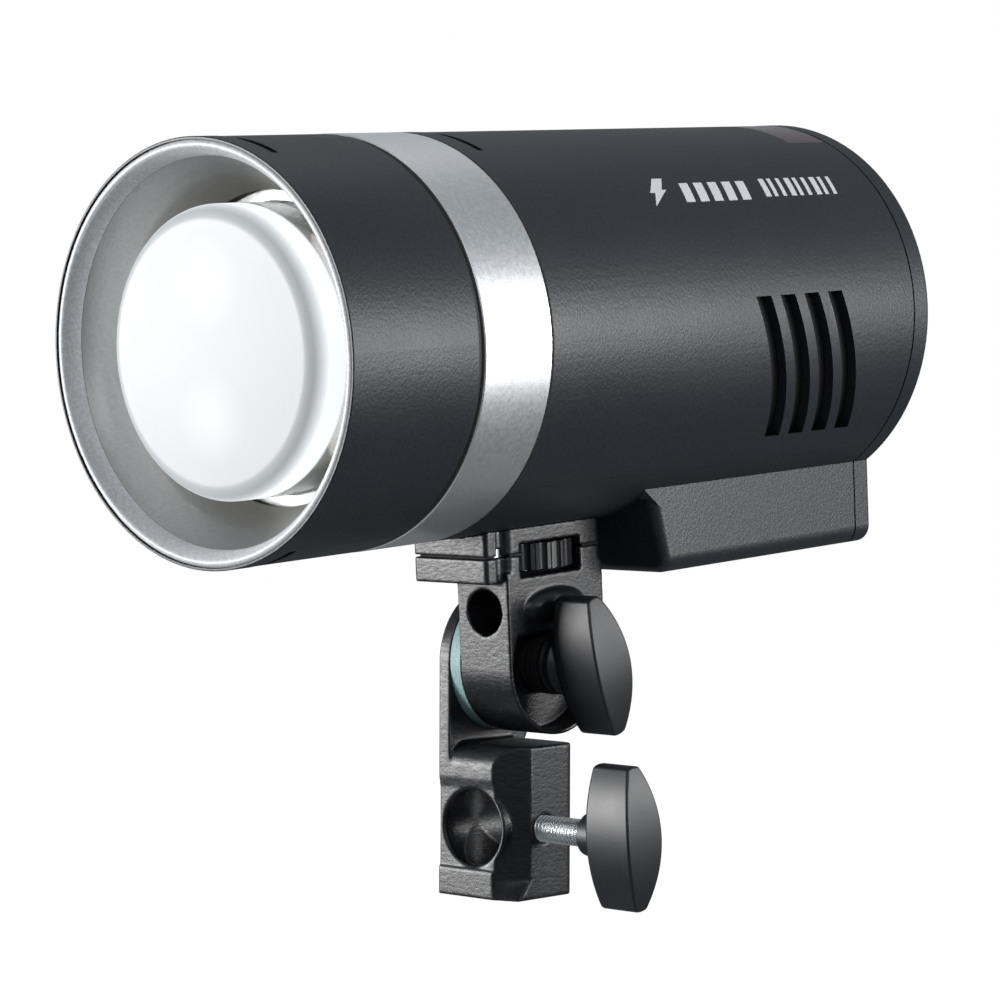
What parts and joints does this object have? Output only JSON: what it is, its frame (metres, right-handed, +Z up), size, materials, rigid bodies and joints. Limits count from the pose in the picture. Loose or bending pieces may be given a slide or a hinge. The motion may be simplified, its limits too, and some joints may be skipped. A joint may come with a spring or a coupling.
{
  "type": "monolight strobe",
  "caption": "Battery studio flash head with frosted dome, silver band, rear control panel and a tilting stand bracket with two locking knobs.",
  "frame": {"origin": "centre of the stand socket's mouth, at the bottom of the stand bracket", "axes": "+Z up out of the stand, the light's nose towards -Y and its rear towards +Y, both locking knobs on +X; the light rests 3.74 degrees nose down"},
  "size_m": [0.087, 0.1965, 0.1737],
  "materials": {
    "battery_black": "fine texture",
    "brass": "brass",
    "bright_silver": "bright rolled",
    "capacitor_sleeve": "shrink sleeve over the can",
    "casting_black": "coarse leathery powder coat on a casting",
    "ceramic": "cream ceramic",
    "circuit_board": "solder mask",
    "clear_glass": "clear",
    "display": "liquid crystal panel",
    "frosted_glass": "sandblasted in front, clear at the side",
    "heat_aluminium": "extruded",
    "inner_black": "matt",
    "key_grey": "soft-touch",
    "knob_black": "satin black",
    "latch_accent": "satin",
    "panel_gloss": "gloss black",
    "polished_mirror": "polished",
    "powder_coat": "fine-grained matt charcoal coat",
    "red_window": "dark red, translucent",
    "reflector_silver": "fine pearl satin",
    "satin_silver": "satin",
    "screen": "clear window over a dark display",
    "strip_black": "smooth satin black",
    "washer_cyan": "pale cyan friction sheet",
    "zinc": "bright zinc"
  },
  "bodies": {
    "stand_bracket": {"stand_bracket": "casting_black", "tilt_bolt": "zinc", "friction_washer": "washer_cyan", "disc_springs": "inner_black"},
    "head": {"front_ring": "powder_coat", "front_strips": "strip_black", "lip_ring": "bright_silver", "reflector": "reflector_silver", "glass_dome": "frosted_glass", "dome_holder": "inner_black", "inner_reflector": "polished_mirror", "flash_tube": "clear_glass", "tube_sockets": "ceramic", "lamp_base": "ceramic", "led_board": "circuit_board", "led_lens": "clear_glass", "led_heat_sink": "heat_aluminium", "front_bulkhead": "inner_black", "silver_band": "satin_silver", "main_shell_upper": "powder_coat", "main_shell_lower": "powder_coat", "top_strip": "strip_black", "optical_window": "red_window", "rear_cover": "powder_coat", "panel_overlay": "panel_gloss", "lcd_window": "screen", "lcd_module": "display", "sync_jack": "zinc", "usb_port": "zinc", "cover_screws": "zinc", "battery_contacts": "inner_black", "power_board": "circuit_board", "capacitors": "capacitor_sleeve", "capacitor_cradle": "inner_black", "transformer": "inner_black", "control_board": "circuit_board", "panel_board": "circuit_board", "fan_frame": "inner_black", "saddle_plate": "casting_black", "thread_insert": "brass", "saddle_screws": "zinc", "bracket_head": "casting_black"},
    "thrust_washer": {"thrust_washer": "inner_black"},
    "tilt_knob": {"tilt_knob": "knob_black", "tilt_knob_insert": "brass"},
    "clamp_shoe": {"clamp_shoe": "brass"},
    "clamp_knob": {"clamp_knob": "knob_black", "clamp_screw": "zinc"},
    "mount_wheel": {"mount_wheel": "knob_black", "mount_screw": "zinc"},
    "fan_rotor": {"fan_rotor": "inner_black"},
    "dial": {"dial": "knob_black"},
    "set_button": {"set_button": "key_grey"},
    "power_button": {"power_button": "key_grey"},
    "battery": {"battery_pack": "battery_black"},
    "battery_latch": {"battery_latch": "latch_accent"},
    "mode_key": {"mode_key": "key_grey"},
    "group_key": {"group_key": "key_grey"},
    "lamp_key": {"lamp_key": "key_grey"},
    "test_key": {"test_key": "key_grey"}
  },
  "joints": [
    {"name": "head_tilt", "type": "hinge", "parent": "stand_bracket", "child": "head", "pos_m": [0, 0.00545, 0.051], "axis": [1, 0, 0], "range_deg": [-93.7, 86.2]},
    {"name": "tilt_knob_travel", "type": "slide", "parent": "stand_bracket", "child": "thrust_washer", "axis": [1, 0, 0], "range_m": [0, 0.00375]},
    {"name": "tilt_knob_turn", "type": "hinge", "parent": "thrust_washer", "child": "tilt_knob", "pos_m": [0.0149, 0.00545, 0.051], "axis": [1, 0, 0], "range_deg": [0, 1080]},
    {"name": "clamp_knob_travel", "type": "slide", "parent": "stand_bracket", "child": "clamp_shoe", "axis": [1, 0, 0], "range_m": [-0.0005, 0.003]},
    {"name": "clamp_knob_turn", "type": "hinge", "parent": "clamp_shoe", "child": "clamp_knob", "pos_m": [0.0283, 0, 0.0152], "axis": [1, 0, 0], "range_deg": [-180, 1080]},
    {"name": "mount_wheel_spin", "type": "hinge", "parent": "head", "child": "mount_wheel", "pos_m": [0, 0.0039, 0.07465], "axis": [0, -0.0652, 0.9979], "continuous": true},
    {"name": "fan_spin", "type": "hinge", "parent": "head", "child": "fan_rotor", "pos_m": [0, 0.0381, 0.131], "axis": [0, 0.9979, 0.0652], "continuous": true},
    {"name": "dial_turn", "type": "hinge", "parent": "head", "child": "dial", "pos_m": [0, 0.09808, 0.11788], "axis": [0, 0.9979, 0.0652], "continuous": true},
    {"name": "set_button_press", "type": "slide", "parent": "head", "child": "set_button", "axis": [0, -0.9979, -0.0652], "range_m": [0, 0.0008], "stiffness_N_per_m": 500},
    {"name": "power_button_press", "type": "slide", "parent": "head", "child": "power_button", "axis": [0, -0.9979, -0.0652], "range_m": [0, 0.0008], "stiffness_N_per_m": 500},
    {"name": "mode_key_press", "type": "slide", "parent": "head", "child": "mode_key", "axis": [0, -0.9979, -0.0652], "range_m": [0, 0.0008], "stiffness_N_per_m": 500},
    {"name": "group_key_press", "type": "slide", "parent": "head", "child": "group_key", "axis": [0, -0.9979, -0.0652], "range_m": [0, 0.0008], "stiffness_N_per_m": 500},
    {"name": "lamp_key_press", "type": "slide", "parent": "head", "child": "lamp_key", "axis": [0, -0.9979, -0.0652], "range_m": [0, 0.0008], "stiffness_N_per_m": 500},
    {"name": "test_key_press", "type": "slide", "parent": "head", "child": "test_key", "axis": [0, -0.9979, -0.0652], "range_m": [0, 0.0008], "stiffness_N_per_m": 500},
    {"name": "battery_slide", "type": "slide", "parent": "head", "child": "battery", "axis": [0, 0.9979, 0.0652], "range_m": [0, 0.08]},
    {"name": "battery_latch_press", "type": "slide", "parent": "battery", "child": "battery_latch", "axis": [0, -0.9979, -0.0652], "range_m": [0, 0.0015], "stiffness_N_per_m": 700}
  ],
  "couplings": [
    {"joint": "tilt_knob_travel", "follows": "tilt_knob_turn", "m_per_rad": 0.00019894},
    {"joint": "clamp_knob_travel", "follows": "clamp_knob_turn", "m_per_rad": 0.00015915}
  ]
}
